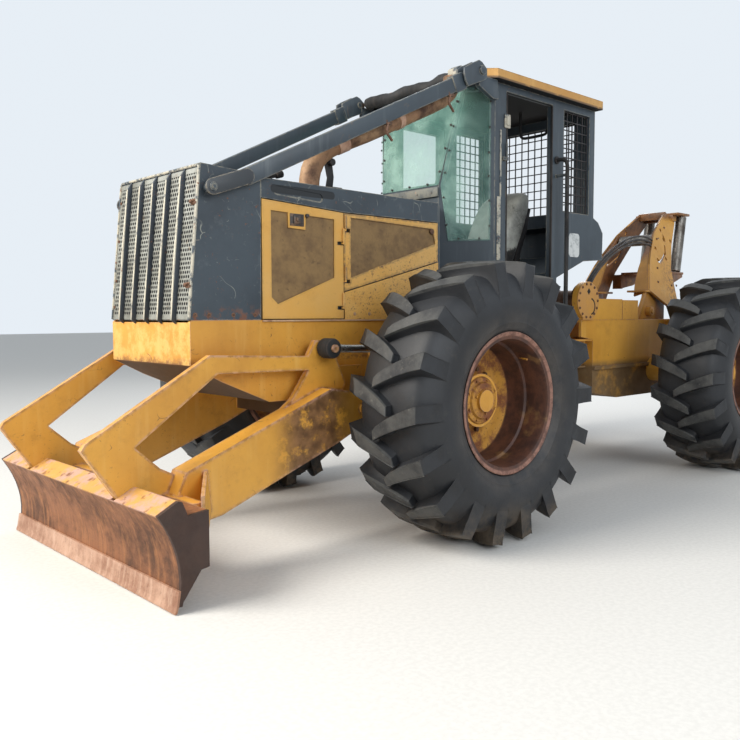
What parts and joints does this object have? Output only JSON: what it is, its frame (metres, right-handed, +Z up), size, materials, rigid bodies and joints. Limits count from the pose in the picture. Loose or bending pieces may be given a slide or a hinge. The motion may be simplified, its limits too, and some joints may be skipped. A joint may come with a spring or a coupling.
{
  "type": "cable skidder",
  "caption": "Articulated cable skidder: wheeled forestry tractor with a front dozer blade, a caged cab with limb risers, and a winch under a fairlead arch on the rear frame.",
  "frame": {"origin": "centre of the bounding box, on the ground the tyres stand on", "axes": "+X forward to the blade, +Y to the machine's left, +Z up"},
  "size_m": [6.965, 2.87, 3.2003],
  "materials": {
    "body_paint": "satin",
    "dark_paint": "satin",
    "pale_paint": "satin",
    "screen_steel": "matte",
    "exhaust_steel": "matte",
    "pane": "gloss",
    "seat_cover": "satin",
    "engine_iron": "satin",
    "blade_rust": "matte",
    "edge_steel": "satin",
    "drum_steel": "matte",
    "roller_steel": "satin",
    "chrome_rod": "gloss",
    "tyre_rubber": "matte",
    "rim_steel": "matte"
  },
  "bodies": {
    "front": {"front_frame": "body_paint", "front_axle": "body_paint", "engine": "engine_iron", "radiator_shroud": "dark_paint", "grille": "pale_paint", "hood": "dark_paint", "exhaust": "exhaust_steel", "limb_risers": "dark_paint", "cab_shell": "dark_paint", "cab_roof": "body_paint", "cab_floor_plate": "dark_paint", "cab_glass": "pane", "cab_screens": "screen_steel", "seat": "seat_cover", "steering_column": "dark_paint"},
    "rear": {"rear_frame": "body_paint", "rear_axle": "body_paint", "winch": "body_paint", "arch": "body_paint"},
    "blade_arms": {"blade_carrier": "body_paint", "blade": "blade_rust", "cutting_edge": "edge_steel"},
    "right_cab_door": {"cab_door": "dark_paint"},
    "winch_spool": {"winch_drum": "drum_steel"},
    "cross_roller": {"fairlead_cross": "roller_steel"},
    "roller_left": {"fairlead_left": "roller_steel"},
    "wheel_front_left": {"tyre_front_left": "tyre_rubber", "rim_front_left": "rim_steel"},
    "door_left_front": {"engine_door_left_front": "body_paint"},
    "wheel_rear_left": {"tyre_rear_left": "tyre_rubber", "rim_rear_left": "rim_steel"},
    "door_left_rear": {"engine_door_left_rear": "body_paint"},
    "lift_body_left": {"lift_barrel_left": "body_paint"},
    "lift_ram_left": {"lift_rod_left": "chrome_rod"},
    "steer_body_left": {"steer_barrel_left": "body_paint"},
    "steer_ram_left": {"steer_rod_left": "chrome_rod"},
    "roller_right": {"fairlead_right": "roller_steel"},
    "wheel_front_right": {"tyre_front_right": "tyre_rubber", "rim_front_right": "rim_steel"},
    "door_right_front": {"engine_door_right_front": "body_paint"},
    "wheel_rear_right": {"tyre_rear_right": "tyre_rubber", "rim_rear_right": "rim_steel"},
    "door_right_rear": {"engine_door_right_rear": "body_paint"},
    "lift_body_right": {"lift_barrel_right": "body_paint"},
    "lift_ram_right": {"lift_rod_right": "chrome_rod"},
    "steer_body_right": {"steer_barrel_right": "body_paint"},
    "steer_ram_right": {"steer_rod_right": "chrome_rod"}
  },
  "joints": [
    {"name": "articulation", "type": "hinge", "parent": "front", "child": "rear", "pos_m": [-0.6625, 0, 0.995], "axis": [0, 0, 1], "range_deg": [-42, 42]},
    {"name": "blade_lift", "type": "hinge", "parent": "front", "child": "blade_arms", "pos_m": [1.7175, 0, 0.84], "axis": [0, -1, 0], "range_deg": [0, 25]},
    {"name": "wheel_front_left", "type": "hinge", "parent": "front", "child": "wheel_front_left", "pos_m": [1.1175, 1.125, 0.88], "axis": [0, 1, 0], "continuous": true},
    {"name": "wheel_rear_left", "type": "hinge", "parent": "rear", "child": "wheel_rear_left", "pos_m": [-2.4425, 1.125, 0.88], "axis": [0, 1, 0], "continuous": true},
    {"name": "lift_swing_left", "type": "hinge", "parent": "front", "child": "lift_body_left", "pos_m": [0.7675, 0.655, 1.18], "axis": [0, -1, 0], "range_deg": [0, 4]},
    {"name": "lift_stroke_left", "type": "slide", "parent": "lift_body_left", "child": "lift_ram_left", "axis": [0.9994, 0, 0.0347], "range_m": [-0.18, 0]},
    {"name": "steer_swing_left", "type": "hinge", "parent": "front", "child": "steer_body_left", "pos_m": [0.3575, 0.24, 0.995], "axis": [0, 0, 1], "range_deg": [-5, 5]},
    {"name": "steer_stroke_left", "type": "slide", "parent": "steer_body_left", "child": "steer_ram_left", "axis": [-1, 0.0085, 0], "range_m": [-0.175, 0.175]},
    {"name": "door_left_front", "type": "hinge", "parent": "front", "child": "door_left_front", "pos_m": [1.6865, 0.487, 1.7], "axis": [0, 0, 1], "range_deg": [0, 62]},
    {"name": "door_left_rear", "type": "hinge", "parent": "front", "child": "door_left_rear", "pos_m": [1.6685, 0.487, 1.85], "axis": [0, 0, -1], "range_deg": [0, 36]},
    {"name": "roller_left_turn", "type": "hinge", "parent": "rear", "child": "roller_left", "pos_m": [-3.3655, 0.18, 2.177], "axis": [-0.1857, 0, 0.9826], "continuous": true},
    {"name": "wheel_front_right", "type": "hinge", "parent": "front", "child": "wheel_front_right", "pos_m": [1.1175, -1.125, 0.88], "axis": [0, 1, 0], "continuous": true},
    {"name": "wheel_rear_right", "type": "hinge", "parent": "rear", "child": "wheel_rear_right", "pos_m": [-2.4425, -1.125, 0.88], "axis": [0, 1, 0], "continuous": true},
    {"name": "lift_swing_right", "type": "hinge", "parent": "front", "child": "lift_body_right", "pos_m": [0.7675, -0.655, 1.18], "axis": [0, -1, 0], "range_deg": [0, 4]},
    {"name": "lift_stroke_right", "type": "slide", "parent": "lift_body_right", "child": "lift_ram_right", "axis": [0.9994, 0, 0.0347], "range_m": [-0.18, 0]},
    {"name": "steer_swing_right", "type": "hinge", "parent": "front", "child": "steer_body_right", "pos_m": [0.3575, -0.24, 0.995], "axis": [0, 0, 1], "range_deg": [-5, 5]},
    {"name": "steer_stroke_right", "type": "slide", "parent": "steer_body_right", "child": "steer_ram_right", "axis": [-1, -0.0085, 0], "range_m": [-0.175, 0.175]},
    {"name": "door_right_front", "type": "hinge", "parent": "front", "child": "door_right_front", "pos_m": [1.6865, -0.487, 1.7], "axis": [0, 0, -1], "range_deg": [0, 62]},
    {"name": "door_right_rear", "type": "hinge", "parent": "front", "child": "door_right_rear", "pos_m": [1.6685, -0.487, 1.85], "axis": [0, 0, 1], "range_deg": [0, 36]},
    {"name": "roller_right_turn", "type": "hinge", "parent": "rear", "child": "roller_right", "pos_m": [-3.3655, -0.18, 2.177], "axis": [-0.1857, 0, 0.9826], "continuous": true},
    {"name": "right_cab_door", "type": "hinge", "parent": "front", "child": "right_cab_door", "pos_m": [0.1845, -0.616, 2.2], "axis": [0, 0, 1], "range_deg": [0, 95]},
    {"name": "winch_drum_turn", "type": "hinge", "parent": "rear", "child": "winch_spool", "pos_m": [-1.2525, 0, 1.545], "axis": [0, 1, 0], "continuous": true},
    {"name": "cross_roller_turn", "type": "hinge", "parent": "rear", "child": "cross_roller", "pos_m": [-2.8275, 0, 2.195], "axis": [0, 1, 0], "continuous": true}
  ],
  "couplings": [
    {"joint": "lift_swing_left", "follows": "blade_lift", "ratio": 0.15508},
    {"joint": "lift_stroke_left", "follows": "blade_lift", "m_per_rad": -0.40802},
    {"joint": "steer_swing_left", "follows": "articulation", "ratio": 0.1133},
    {"joint": "steer_stroke_left", "follows": "articulation", "m_per_rad": 0.2338},
    {"joint": "lift_swing_right", "follows": "blade_lift", "ratio": 0.15508},
    {"joint": "lift_stroke_right", "follows": "blade_lift", "m_per_rad": -0.40802},
    {"joint": "steer_swing_right", "follows": "articulation", "ratio": 0.1133},
    {"joint": "steer_stroke_right", "follows": "articulation", "m_per_rad": -0.2338}
  ]
}
